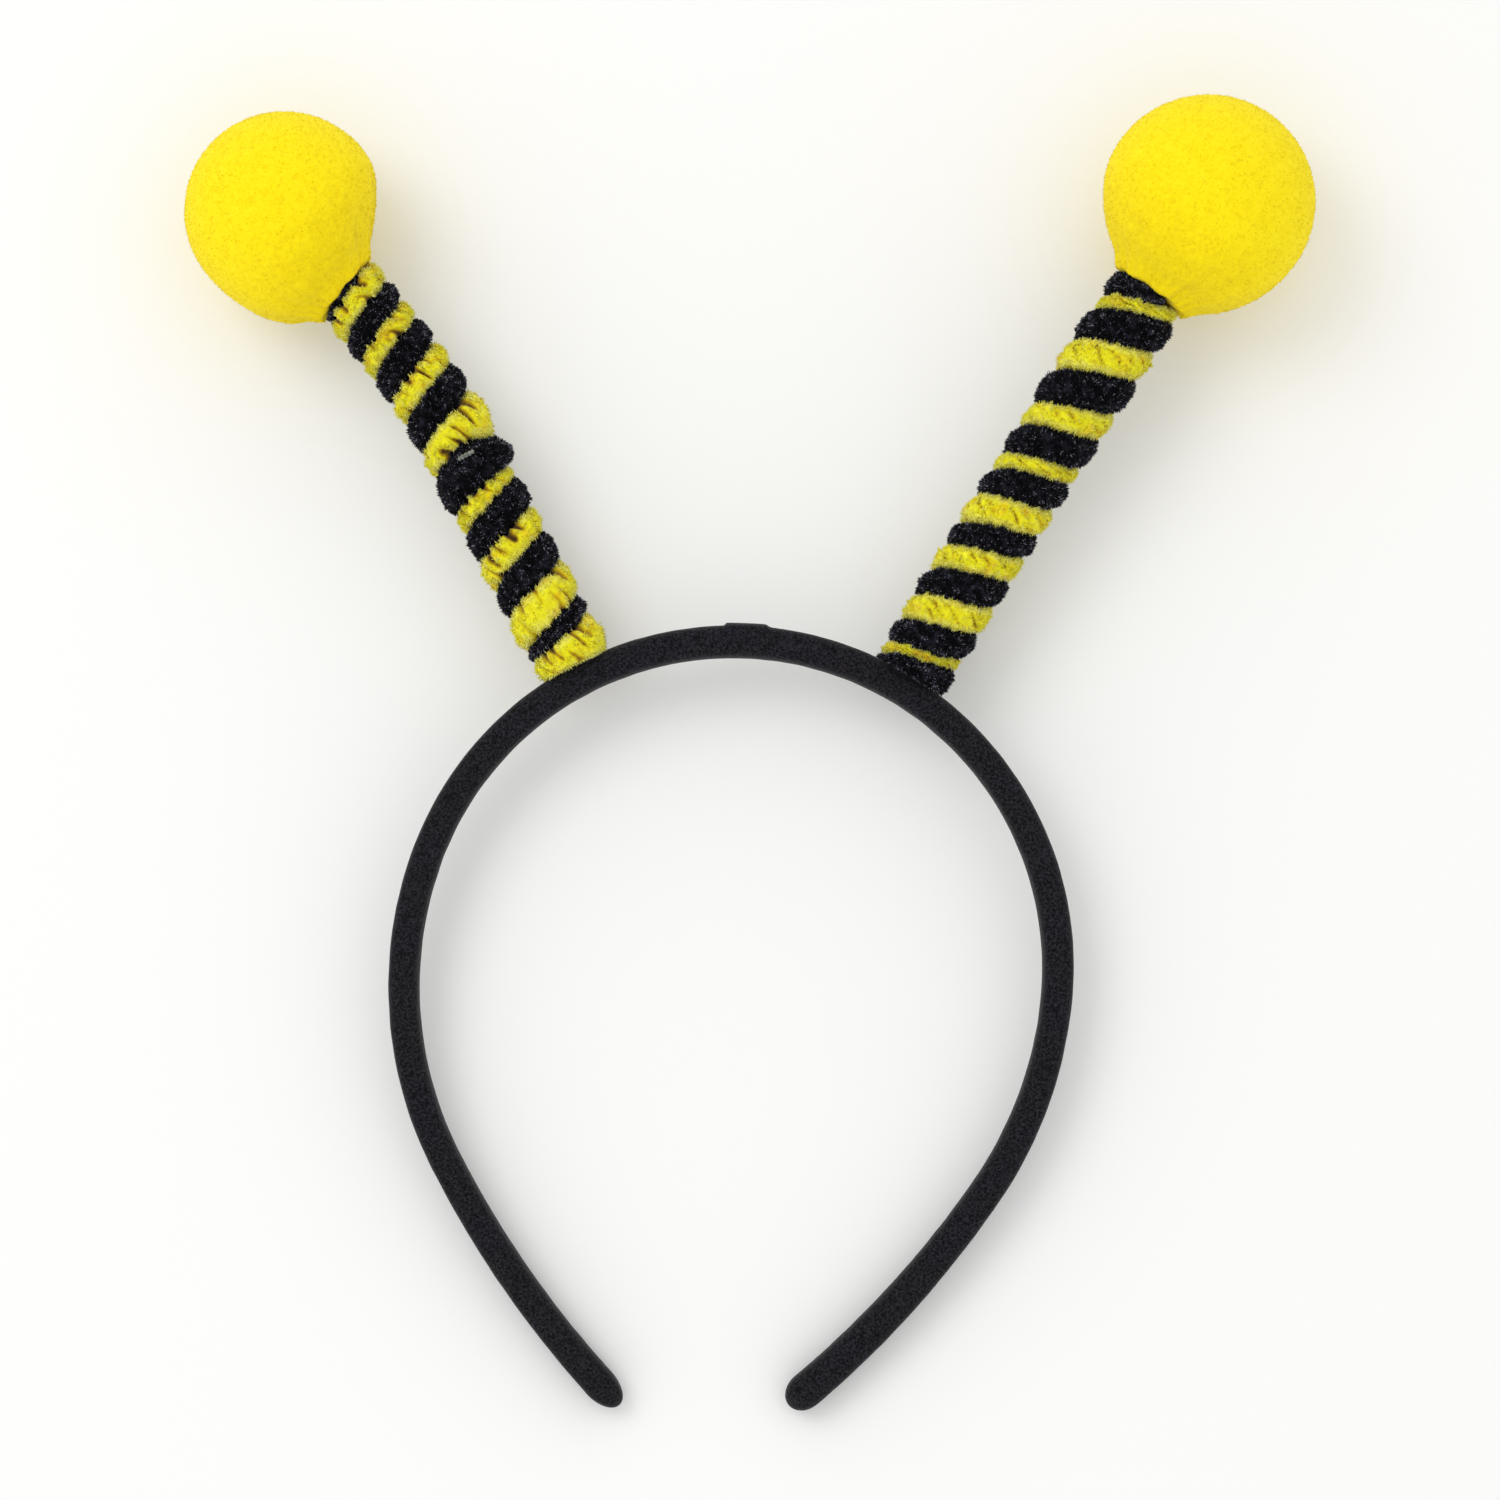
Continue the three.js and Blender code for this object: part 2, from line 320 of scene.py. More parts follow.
def arm_place(side, distance):
    """Middle, outward direction, thickness and width of an arm, at distances from the crown."""
    arm = arms[side]
    crown = crown_radius * math.radians(arm["crown_sweep"])
    shoulder = arm["shoulder_radius"] * math.radians(arm["shoulder_sweep"])
    end = arm_length(side) - crown - shoulder
    end_sweep = math.degrees(end / arm["end_radius"])
    path = flat_path([(crown, arm["crown_sweep"]), (shoulder, arm["shoulder_sweep"]), (end, end_sweep)])
    ahead, aside, heading = (np.interp(distance, path[0], column) for column in path[1:])
    level = np.zeros_like(ahead)
    middle = np.stack([side * ahead, crown_radius - aside, level], axis=-1)
    outward = np.stack([side * np.sin(heading), np.cos(heading), level], axis=-1)
    share = distance / arm_length(side)
    thickness = hoop_thickness * np.interp(share, arm["taper_at"], arm["thickness"])
    width = hoop_width * np.interp(share, arm["taper_at"], arm["width"])
    return middle, outward, thickness, width


def mottle(places, size, seed, waves=24, lengths=(0.6, 1.4)):
    """Smooth random values, about -1 to 1, that change over the given size."""
    random = np.random.default_rng(seed)
    directions = random.normal(size=(waves, 3))
    directions *= 2 * math.pi / size / np.linalg.norm(directions, axis=1, keepdims=True)
    directions *= random.uniform(*lengths, (waves, 1))
    phases = random.uniform(0, 2 * math.pi, waves)
    return np.sin(places @ directions.T + phases).sum(axis=-1) / math.sqrt(waves)


def ripple(angle):
    """A wave between 0 and 1."""
    return 0.5 + 0.5 * np.cos(angle)


def all_round(count):
    """Angles evenly round a circle."""
    return np.linspace(0, 2 * math.pi, count, endpoint=False)


def skin(rows, columns):
    """Triangles over rings of points, a ring to a row, and over a middle point that follows for each end."""
    low = np.arange(rows - 1)[:, None] * columns
    side = np.arange(columns)
    after = (side + 1) % columns
    here, beside = low + side, low + after
    over, over_beside = here + columns, beside + columns
    walls = np.stack([here, beside, over_beside, here, over_beside, over], axis=-1).reshape(-1, 3)
    first, last, top = rows * columns, rows * columns + 1, (rows - 1) * columns
    start = np.stack([np.full(columns, first), after, side], axis=-1)
    end = np.stack([np.full(columns, last), top + side, top + after], axis=-1)
    return np.concatenate([walls, start, end])


def with_ends(rings, *columns):
    """Rings of points, and columns of values on them, as flat lists with the middle of each end added."""
    flat = []
    for values in (rings, *columns):
        ends = [values[0].mean(axis=0), values[-1].mean(axis=0)]
        flat.append(np.concatenate([values.reshape(-1, *values.shape[2:]), ends]))
    return flat


def add_piece(name, points, triangles, finish, **readings):
    """A closed, smooth piece of the object, with the values that its finish reads at its points."""
    mesh = bpy.data.meshes.new(name)
    mesh.from_pydata(points.tolist(), [], triangles.tolist())
    mesh.shade_smooth()
    for reading, values in readings.items():
        mesh.attributes.new(reading, "FLOAT", "POINT").data.foreach_set("value", values.astype(np.float32))
    mesh.materials.append(finish.material)
    piece = bpy.data.objects.new(name, mesh)
    bpy.context.scene.collection.objects.link(piece)
    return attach(piece, "root")


# Stations along the hoop, counted from the crown, left ones below 0, and how full the section is there
station_at, station_fullness = [], []
for side, arm in arms.items():
    straight = arm_length(side) - arm["tip_length"]
    plain = np.linspace(0, straight, round(straight / hoop_step))
    if side == 1:
        plain = plain[1:]  # the crown itself is a station of the left arm
    closing = np.radians(np.linspace(0, tip_closing, tip_rings))[1:]
    station_at += list(side * plain)
    station_fullness += [1.0] * len(plain)
    station_at += list(side * (straight + arm["tip_length"] * np.sin(closing)))
    station_fullness += list(np.cos(closing))
order = np.argsort(station_at)
station_at = np.array(station_at)[order]
station_fullness = np.array(station_fullness)[order]

left_places = arm_place(-1, np.abs(station_at))
right_places = arm_place(1, np.abs(station_at))
is_right = station_at >= 0
middle, outward = (
    np.where(is_right[:, None], right, left) for right, left in zip(right_places[:2], left_places[:2])
)
thickness, width = (
    np.where(is_right, right, left)[:, None] for right, left in zip(right_places[2:], left_places[2:])
)

around = all_round(hoop_sides)
thick_part = np.abs(np.cos(around) / (thickness / 2)) ** corner_power
wide_part = np.abs(np.sin(around) / (width / 2)) ** corner_power
reach = (thick_part + wide_part) ** (-1 / corner_power)

across = reach * np.sin(around)
lapped = np.interp(np.abs(station_at - lap_centre), [lap_length / 2, lap_length / 2 + lap_slope], [1, 0])
reach = reach + lap_height * lapped[:, None] * (np.cos(around) > face_edge)
seam = 1 / (1 + np.exp(-across / seam_softness)) * np.exp(-np.maximum(across, 0) / seam_fade)
reach = reach + seam_height * seam * (np.cos(around) < -face_edge)
drawn_in = 1 - station_fullness[:, None] ** 2
reach = reach - pleat_depth * drawn_in * ripple(pleat_count * around)

depth = (reach * np.cos(around) * station_fullness[:, None])[..., None]
front = (reach * np.sin(around) * station_fullness[:, None])[..., None]
rings = middle[:, None] + outward[:, None] * depth + np.array([0, 0, 1]) * front
cloth_wave = mottle(rings, cloth_wave_size, seed=1)[..., None]
rings = rings + sleeve_waves * cloth_wave * (rings - middle[:, None]) / reach.mean()

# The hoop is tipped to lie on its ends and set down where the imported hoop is.
lying_turn = np.array(Matrix.Rotation(slope, 3, "X"))
tipped = rings @ lying_turn.T
hoop_low, hoop_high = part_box("headband")
own_middle = (tipped.min(axis=(0, 1)) + tipped.max(axis=(0, 1))) / 2
lying_shift = np.array((hoop_low + hoop_high) / 2) - own_middle


def lie_down(points):
    """Takes points from the hoop's own frame to where the headband lies."""
    return points @ lying_turn.T + lying_shift


along_thread = np.broadcast_to(station_at[:, None], reach.shape)
round_thread = np.broadcast_to(around * hoop_thickness / 2, reach.shape)
hoop_points, along_thread, round_thread = with_ends(rings, along_thread, round_thread)

band_cloth = Finish(
    "band_cloth", Roughness=0.9, Specular_IOR_Level=0.08, Sheen_Weight=0.12, Sheen_Roughness=0.5
)
thread = 2 * math.pi / thread_pitch
warp = (band_cloth.reading("along") * thread).sine()
weft = (band_cloth.reading("round") * thread).sine()
weave = warp * weft * 0.5 + 0.5
nap = band_cloth.noise(nap_size, detail=3)
cloth_shade = (weave * weave_contrast + nap * nap_contrast - cloth_dark).clamped()
faded = band_cloth.noise(fade_size).sharpened(3, 1.2) * fade_share
worn_cloth = band_cloth.mix(faded, cloth_black, faded_black)
band_cloth.coat(Base_Color=band_cloth.mix(cloth_shade, between_threads, worn_cloth))
band_cloth.relief(weave * weave_relief + nap, weave_depth)

headband = add_piece(
    "cloth_headband",
    lie_down(hoop_points),
    skin(len(station_at), hoop_sides),
    band_cloth,
    along=along_thread,
    round=round_thread,
)
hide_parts("headband")


# Chenille windings
# Each antenna is wound from a black and a yellow chenille stem side by side, glued to a post. A stem is
# a twisted wire full of pile, which parts in slanting slits where it bends round the outside.
clearance = 0.0003
post_radius = 0.0027
stem_width = 0.0058
stem_bulge = 0.26
arm_rests_at = 0.0058  # from the end of the right arm

# Each antenna, with angles in degrees:
#   bend          where along the length it starts and stops bending, as shares, and how far it bends
#   neck, hem     the narrow end of the ball's cover, which the winding stops under
#   turns         from the hoop up, how wide the black and the yellow stem show, as shares of the length
#   start         the turn at which the stems begin; turns are counted from the front of the foot
#   lift_off      the turns over which the edge of each colour rises from the hoop
#   foot_ring     how high the yellow edge stands behind the foot, at least
#   sags          the turn and spread of a sag, and how far the black and the yellow edge sag there
#   slit_spacing, slit_reach    the least and the most; the reach is a share of the stem's width
#   slit_lean, slit_inset       how far a slit slants round, and the share of the width that it stays off
antennas = {
    "right": {
        "root_angle": 31.2,
        "length": 0.0867,
        "coil_radius": 0.0079,
        "bend": (0.1, 0.95, 1.8),
        "ball_radius": 0.0206,
        "neck_radius": 0.0084,
        "neck_shift": 0.0002,
        "neck_drop": 0.0002,
        "neck_slant": -4,
        "hem_lift": 0.0008,
        "turns": [
            (0.039, 0.021), (0.064, 0.069), (0.068, 0.060),
            (0.058, 0.071), (0.068, 0.039), (0.074, 0.063),
            (0.088, 0.080), (0.079, 0.031), (0.081, 0.058),
        ],
        "start": -0.6,
        "lift_off": {"black": (0.2, 0.55), "yellow": (-2, -1)},
        "foot_ring": 0.00145,
        "sags": [],
        "slit_lean": 1.3,
        "slit_spacing": (0.0022, 0.005),
        "slit_width": 0.0003,
        "slit_inset": 0.08,
        "slit_reach": (0.6, 0.95),
        "slit_depth": {"black": 0.0001, "yellow": 0.0007},
    },
    "left": {
        "root_angle": -27.7,
        "length": 0.084,
        "coil_radius": 0.00765,
        "bend": (0.58, 0.84, -11.5),
        "ball_radius": 0.0192,
        "neck_radius": 0.0078,
        "neck_shift": -0.0004,
        "neck_drop": 0.0008,
        "neck_slant": 13,
        "hem_lift": 0.0014,
        "turns": [
            (0.0, 0.065), (0.039, 0.092), (0.073, 0.071),
            (0.070, 0.049), (0.100, 0.071), (0.074, 0.062),
            (0.067, 0.054), (0.054, 0.059), (0.060, 0.060),
        ],
        "start": -1,
        "lift_off": {"black": (-2, -1), "yellow": (0.2, 0.5)},
        "foot_ring": 0.0,
        "sags": [(4.25, 0.16, 0.0017, 0.0035)],
        "slit_lean": 0.5,
        "slit_spacing": (0.002, 0.0042),
        "slit_width": 0.00036,
        "slit_inset": -0.25,
        "slit_reach": (0.5, 1.0),
        "slit_depth": {"black": 0.0001, "yellow": 0.001, "splice": 0.0},
    },
}
plumpness = 2.2
pile_between = 0.00012
thinnest_stem = 0.0011
foot_squash = 0.0012
fray_depth = 0.0002
fray_size = 0.0024
fray_seeds = {"black": 61, "yellow": 62}
slits_from_top = 0.7
slit_pull = 0.6
slit_askew = 0.22
slit_taper = 0.65
slit_fade = 0.25
slit_widths = (0.7, 1.5)  # shares of slit_width, the least and the most
slit_depths = (0.4, 1.0)  # shares of slit_depth, the least and the most
slit_parts = ((0.7, 1), (0.3, 3))  # (share of the depth, times the width): the core and its soft sides
steps_per_turn = 150
stem_sides = 24
side_closeness = 0.28
pile_lump_depth = 0.00014
pile_lumps = ((0.0022, 1), (0.0011, 0.6))  # (size, height)
# The pile's body is painted lighter on its outward side and on raised lumps, and darker in the slits:
# painted light and painted shade.
body_shade = 0.38
outside_light = 0.2
lump_light = 0.05
slit_shade = 0.7

# The fibres that stand out of the pile. None stands in a deep slit.
pile_per_turn = 2650
pile_round, pile_round_limit = 0.85, 2.0  # radians from straight out
pile_root = 0.0002
deep_slit = 0.00022
pile_tufts = 0.2
tuft_size = 0.0016
pile_stray = 0.13
lump_length = 0.2
# Fibres are painted darker at the root and lighter at the tip: painted shade deep in the pile and painted
# light at its surface.
root_shade, tip_shade = 0.44, 0.78
fibre_tint, tuft_tint = 0.12, 0.10
spike_points = 4
piles = {
    "black": {"sunk": 0.0003, "length": (0.0003, 0.0005), "thickness": (0.00012, 0.00022)},
    "yellow": {"sunk": 0.0004, "length": (0.0004, 0.00065), "thickness": (0.00009, 0.00017)},
    "splice": {"sunk": -0.0012, "length": (0.0003, 0.0005), "thickness": (0.00012, 0.00022)},
}

# The short stem that is tucked in on the left antenna, and stands out over the winding
splice_turns = (3.92, 4.34)
splice_height = (0.0432, 0.0418)
splice_arch = 0.0009
splice_width = 0.005
splice_squareness = 6


def unit(vectors):
    """The same directions, 1 long."""
    return vectors / np.linalg.norm(vectors, axis=1, keepdims=True)


def eased(share):
    """A share from 0 to 1 with a level start and end."""
    return share * share * (3 - 2 * share)


def stem_place(antenna, height):
    """Middle and heading of an antenna's own line at heights above the hoop, before it is set on."""
    start, end, turn = antenna["bend"]
    length = antenna["length"]
    path = flat_path([(start * length, 0), ((end - start) * length, turn), (2 * length, 0)])
    ahead, aside, heading = (np.interp(height, path[0], column) for column in path[1:])
    return np.stack([aside, ahead, np.zeros_like(ahead)], axis=-1), heading


def beside_stem(antenna, height, out, angle):
    """Points a distance out from the line, at an angle round from the front, and their two directions."""
    middle, heading = stem_place(antenna, height)
    level = np.zeros_like(heading)
    sideways = np.stack([np.cos(heading), -np.sin(heading), level], axis=-1)
    upward = np.stack([np.sin(heading), np.cos(heading), level], axis=-1)
    away = sideways * np.sin(angle)[..., None] + np.array([0, 0, 1]) * np.cos(angle)[..., None]
    return middle + away * out[..., None], away, upward


def section_way(away, upward, around):
    """The way out from the middle of a strand, at angles round its section."""
    return away * np.cos(around)[..., None] - upward * np.sin(around)[..., None]


def foot_of(antenna):
    """Where the antenna's line stands on the hoop."""
    side = 1 if antenna["root_angle"] > 0 else -1
    distance = crown_radius * math.radians(abs(antenna["root_angle"]))
    middle, outward, thickness, _ = arm_place(side, distance)
    return middle + outward * thickness / 2


def ball_height(antenna):
    """How far up the antenna's line the middle of its ball is."""
    return antenna["length"] + antenna["ball_radius"] + antenna["neck_drop"]


def outward_turn(antenna):
    """The turn from straight up to the antenna's own angle on the hoop."""
    return np.array(Matrix.Rotation(-math.radians(antenna["root_angle"]), 3, "Z"))


def lean_back(antenna):
    """How far an antenna leans back from the hoop so that its ball reaches the floor too."""
    foot = foot_of(antenna)
    ball = foot + outward_turn(antenna) @ stem_place(antenna, ball_height(antenna))[0]
    end_middle, _, _, end_width = arm_place(1, arm_length(1) - arm_rests_at)
    floor_below = -end_width / 2 - (ball[1] - end_middle[1]) * math.tan(slope)
    rise = floor_below + antenna["ball_radius"] / math.cos(slope)
    return math.asin(rise / np.linalg.norm(ball - foot))


def set_on_hoop(antenna, points):
    """Takes points from an antenna's own frame to where it stands on the lying headband."""
    lean = np.array(Matrix.Rotation(lean_back(antenna), 3, "X"))
    return lie_down(points @ (outward_turn(antenna) @ lean).T + foot_of(antenna))


def read_smoothly(values, at):
    """Reads a row of values at and between its whole places, with no kinks."""
    slopes = np.gradient(values)
    before = np.clip(np.floor(at).astype(int), 0, len(values) - 2)
    part = at - before
    rise = eased(part)
    bow_in, bow_out = part * (1 - part) ** 2, part * part * (part - 1)
    level = values[before] * (1 - rise) + values[before + 1] * rise
    return level + slopes[before] * bow_in + slopes[before + 1] * bow_out


def neck_slope(antenna):
    return math.tan(math.radians(antenna["neck_slant"]))


def ceiling(antenna, out, angle):
    """The height that the winding may reach under the slanting neck."""
    return antenna["length"] + antenna["hem_lift"] - clearance + neck_slope(antenna) * out * np.sin(angle)


def splice_edges(turn):
    """The lower and upper height of the short lump where a new black stem is tucked in."""
    share = np.clip((turn - splice_turns[0]) / np.ptp(splice_turns), 0, 1)
    middle = np.interp(share, (0, 1), splice_height) + splice_arch * np.sin(math.pi * share)
    half = splice_width / 2 * np.sqrt(1 - (2 * share - 1) ** splice_squareness)
    return middle - half, middle + half


def fray(antenna, colour, turn):
    """How far the pile of one stem stands over the other where they meet, at turns of the winding."""
    level = np.zeros_like(turn)
    places = np.stack([turn * 2 * math.pi * antenna["coil_radius"], level, level], axis=-1)
    return fray_depth * mottle(places, fray_size, fray_seeds[colour])


def stem_edges(antenna, kind, turn):
    """The lower and upper height of a stem of the winding, at turns counted from the front of its foot."""
    if kind == "splice":
        return splice_edges(turn)
    widths = np.array(antenna["turns"]) * antenna["length"]
    heights = np.append(0, np.cumsum(widths))
    top, pitch = heights[-1], heights[-1] / len(widths)
    black = np.array([-pitch, *heights[::2], top + pitch])
    yellow = np.array([heights[1] - pitch, *heights[1::2], top + pitch / 2])
    angle = 2 * math.pi * turn
    hoop_falls = (antenna["coil_radius"] * np.sin(angle)) ** 2 / (2 * crown_radius)
    foot = -hoop_falls - foot_squash * (1 + np.cos(angle)) / 2

    # Each edge is the bottom of a turn of its own colour, and the top of the turn below it.
    black_turn = turn if kind == "black" else turn + 1
    black_lift = np.interp(black_turn, antenna["lift_off"]["black"], (0, 1))
    yellow_lift = np.interp(turn, antenna["lift_off"]["yellow"], (0, 1))
    black_edge = foot + (read_smoothly(black, black_turn + 1) - foot) * black_lift
    yellow_edge = foot + (read_smoothly(yellow, turn + 1) - foot) * yellow_lift
    black_edge = black_edge + fray(antenna, "black", black_turn) * black_lift
    yellow_edge = yellow_edge + fray(antenna, "yellow", turn) * yellow_lift

    behind = (1 - np.cos(angle)) / 2
    yellow_edge = np.maximum(yellow_edge, foot + (antenna["foot_ring"] - foot) * behind ** 2)
    for at, spread, black_sag, yellow_sag in antenna["sags"]:
        black_edge = black_edge - black_sag * np.exp(-(((black_turn - at) / spread) ** 2))
        yellow_edge = yellow_edge - yellow_sag * np.exp(-(((turn - at) / spread) ** 2))
    lower, upper = (black_edge, yellow_edge) if kind == "black" else (yellow_edge, black_edge)
    limit = ceiling(antenna, antenna["coil_radius"], angle)
    return np.maximum(lower, foot), np.minimum(upper, limit)


def plump(part):
    """A sine or cosine round a section, filled out towards a square."""
    return np.sign(part) * np.abs(part) ** (2 / plumpness)


def stem_surface(antenna, kind, turn, around, sunk=0.0, parted=0.0):
    """Points of a stem's surface, the way out of its pile there, and the share of its width crossed."""
    lower, upper = stem_edges(antenna, kind, turn)
    angle = 2 * math.pi * turn
    swell = 1 + stem_bulge * ((upper - lower) / stem_width - 1)
    inner = post_radius + clearance
    half_depth = (antenna["coil_radius"] - inner) * swell / 2
    half_height = (upper - lower - clearance) / 2
    bulge_out, bulge_down = plump(np.cos(around)), plump(np.sin(around))
    outer = np.clip(bulge_out, 0, 1)
    out = inner + half_depth * (1 + bulge_out) - (piles[kind]["sunk"] + sunk + parted) * outer
    height = (lower + upper) / 2 - (half_height - pile_between - slit_pull * parted) * bulge_down
    height = np.minimum(height, ceiling(antenna, out, angle))
    points, away, upward = beside_stem(antenna, height, out, angle)
    return points, section_way(away, upward, around), (1 - bulge_down) / 2


def cut_slits(antenna, random):
    """Where the pile parts along a stem, and how each slit lies: one row of values for each property."""
    turn_length = 2 * math.pi * antenna["coil_radius"]
    count = round((len(antenna["turns"]) + 2) * turn_length / antenna["slit_spacing"][0])
    return {
        "at": -1 + np.cumsum(random.uniform(*antenna["slit_spacing"], count)) / turn_length,
        "from_top": random.random(count) < slits_from_top,
        "askew": random.normal(0, slit_askew, count),
        "reach": random.uniform(*antenna["slit_reach"], count),
        "width": antenna["slit_width"] * random.uniform(*slit_widths, count),
        "depth": random.uniform(*slit_depths, count),
    }


def slit_gap(antenna, turn, crossed, slits):
    """How far the pile is parted, 0 to 1, at turns and at shares of the stem's width."""
    radius = antenna["coil_radius"]
    shifted = turn - antenna["slit_lean"] * (0.5 - crossed) * stem_width / (2 * math.pi * radius)
    between = (slits["at"][1:] + slits["at"][:-1]) / 2
    nearest = np.searchsorted(between, shifted)
    askew = slits["askew"][nearest] * (0.5 - crossed) * stem_width
    off = np.abs((shifted - slits["at"][nearest]) * 2 * math.pi * radius - askew)
    reach = np.where(slits["from_top"][nearest], 1 - crossed, crossed)
    fade = np.clip((slits["reach"][nearest] - reach) / slit_fade, 0, 1)
    fade = fade * np.clip((reach - antenna["slit_inset"]) / slit_fade, 0, 1)
    spread = slits["width"][nearest] * (1 + slit_taper - 2 * slit_taper * reach)
    slit = sum(share * np.exp(-((off / spread / wider) ** 2)) for share, wider in slit_parts)
    return slits["depth"][nearest] * fade * slit


def near_edge(crossed):
    """0 along the middle of a stem and 1 at its edges."""
    return np.abs(2 * crossed - 1)


def lumpiness(places, lumps, seed):
    """Lumps at places, from rows of (size, height)."""
    return sum(height * mottle(places, size, seed + row) for row, (size, height) in enumerate(lumps))


def spikes(roots, directions, lengths, thicknesses, random):
    """Closed three-sided spikes, as points, three at the root and the tip, and triangles."""
    aside = unit(np.cross(directions, random.normal(size=directions.shape)))
    across = np.cross(directions, aside)
    corners = []
    for angle in np.radians([0, 120, 240]):
        corner = math.cos(angle) * aside + math.sin(angle) * across
        corners.append(roots + thicknesses[:, None] * corner)
    tips = roots + lengths[:, None] * directions
    pattern = np.array([[0, 2, 1], [0, 1, 3], [1, 2, 3], [2, 0, 3]])
    triangles = pattern + spike_points * np.arange(len(roots))[:, None, None]
    return np.stack([*corners, tips], axis=1).reshape(-1, 3), triangles.reshape(-1, 3)


def stem_turns(antenna, kind):
    """The turns at which a stem's rings stand, without those where it is pressed away to nothing."""
    first, last = splice_turns if kind == "splice" else (antenna["start"], len(antenna["turns"]))
    turn = np.linspace(first, last, round((last - first) * steps_per_turn))
    lower, upper = stem_edges(antenna, kind, turn)
    return turn[upper - lower - clearance > thinnest_stem]


def stem_body(antenna, kind, turn, slits, seed):
    """The body of pile: its points, their painted light and shade, and how near they are to the stem's
    edges.
    """
    around = all_round(stem_sides)
    around = around - side_closeness * np.sin(2 * around) / 2
    turn, around = np.meshgrid(turn, around, indexing="ij")
    rough, _, crossed = stem_surface(antenna, kind, turn, around)
    gap = slit_gap(antenna, turn, crossed, slits)
    lumps = lumpiness(rough, pile_lumps, seed)
    sunk, parted = -pile_lump_depth * lumps, antenna["slit_depth"][kind] * gap
    rings, _, _ = stem_surface(antenna, kind, turn, around, sunk, parted)
    outside = np.clip(np.cos(around), 0, 1)
    # Painted light on the outward side and on lumps, painted shade in the slits.
    shade = body_shade + outside_light * outside + lump_light * lumps - slit_shade * gap
    return with_ends(rings, shade, near_edge(crossed))


def stem_fibres(antenna, kind, turn, slits, seed, random):
    """The fibres round the outside: points, triangles, their painted light and shade, and how near to the
    edges.
    """
    count = round(pile_per_turn * np.ptp(turn))
    at = random.uniform(turn[0], turn[-1], count)
    around = np.clip(random.normal(0, pile_round, count), -pile_round_limit, pile_round_limit)
    _, _, crossed = stem_surface(antenna, kind, at, around)
    kept = antenna["slit_depth"][kind] * slit_gap(antenna, at, crossed, slits) < deep_slit
    at, around = at[kept], around[kept]
    rough, way_out, crossed = stem_surface(antenna, kind, at, around)
    lumps = lumpiness(rough, pile_lumps, seed)
    roots, _, _ = stem_surface(antenna, kind, at, around, pile_root - pile_lump_depth * lumps)
    tuft = np.stack([mottle(rough, tuft_size, seed + axis) for axis in (2, 3, 4)], axis=-1)
    directions = unit(way_out + pile_tufts * tuft + random.normal(0, pile_stray, way_out.shape))
    lengths = pile_root + random.uniform(*piles[kind]["length"], len(roots)) * (1 + lump_length * lumps)
    thicknesses = random.uniform(*piles[kind]["thickness"], len(roots))
    points, triangles = spikes(roots, directions, lengths, thicknesses, random)
    tint = fibre_tint * random.normal(size=len(roots)) + tuft_tint * tuft[:, 0]
    # Painted shade at the root and painted light at the tip, with a random tint on both.
    root, tip = root_shade + tint, tip_shade + tint
    shade = np.stack([root, root, root, tip], axis=1).ravel()
    return points, triangles, shade, np.repeat(near_edge(crossed), spike_points)


def add_stem(side, kind, finish, seed):
    """One chenille stem wound up an antenna: its body of pile, and the fibres that stand out of it."""
    antenna = antennas[side]
    random = np.random.default_rng(seed)
    turn = stem_turns(antenna, kind)
    slits = cut_slits(antenna, random)
    body, shade, edge = stem_body(antenna, kind, turn, slits, seed)
    fibres, triangles, fibre_shade, fibre_edge = stem_fibres(antenna, kind, turn, slits, seed, random)
    return add_piece(
        f"{side}_{kind}_stem",
        set_on_hoop(antenna, np.concatenate([body, fibres])),
        np.concatenate([skin(len(turn), stem_sides), triangles + len(body)]),
        finish,
        shade=np.clip(np.concatenate([shade, fibre_shade]), 0, 1),
        edge=np.concatenate([edge, fibre_edge]),
    )


black_pile = Finish(
    "black_pile", Roughness=0.85, Specular_IOR_Level=0.05, Sheen_Weight=0.03, Sheen_Roughness=0.4
)
# Black from painted shade at the roots and in the slits, up to grey painted highlights on the fibre tips,
# with random grey specks where the tint runs high.
black_shades = [
    (0.1, paint(2, 2, 3)),
    (0.5, paint(5, 5, 7)),
    (0.75, paint(41, 40, 51)),
    (1.0, paint(160, 159, 174)),
]
black_pile.coat(Base_Color=black_pile.ramp(black_pile.broken_shade(0.0012, 0.5), black_shades))

yellow_pile = Finish(
    "yellow_pile", Roughness=0.9, Specular_IOR_Level=0.2, Sheen_Weight=0.15, Sheen_Roughness=0.5
)
# Yellow from brown painted shade in the slits and at the roots, up to pale painted highlights at the fibre
# tips.
yellow_shades = [
    (0.0, paint(70, 48, 6)),
    (0.2, paint(170, 138, 10)),
    (0.42, paint(229, 220, 14)),
    (0.75, paint(241, 237, 40)),
    (1.0, paint(253, 251, 196)),
]
highlight_yellow = paint(254, 251, 158)
warm_yellow = paint(228, 178, 10)
warm_patch_size = 0.0032
warm_patch_share = 0.6

# The yellow follows the painted light and shade that the mesh carries. Fibre tips near the stem's edges are
# mixed towards a pale yellow, which is a painted highlight along the edges.
shaded_yellow = yellow_pile.ramp(yellow_pile.broken_shade(0.0015, 0.3), yellow_shades)
lit_tips = yellow_pile.reading("shade").sharpened(2.2, 0.75)
lit_edge = yellow_pile.reading("edge").sharpened(1.9, 0.85) * lit_tips
highlighted_yellow = yellow_pile.mix(lit_edge, shaded_yellow, highlight_yellow)
warm_patches = yellow_pile.noise(warm_patch_size).sharpened(4.0, 2.1) * warm_patch_share * (1 - lit_edge)
yellow_pile.coat(Base_Color=yellow_pile.mix(warm_patches, highlighted_yellow, warm_yellow))

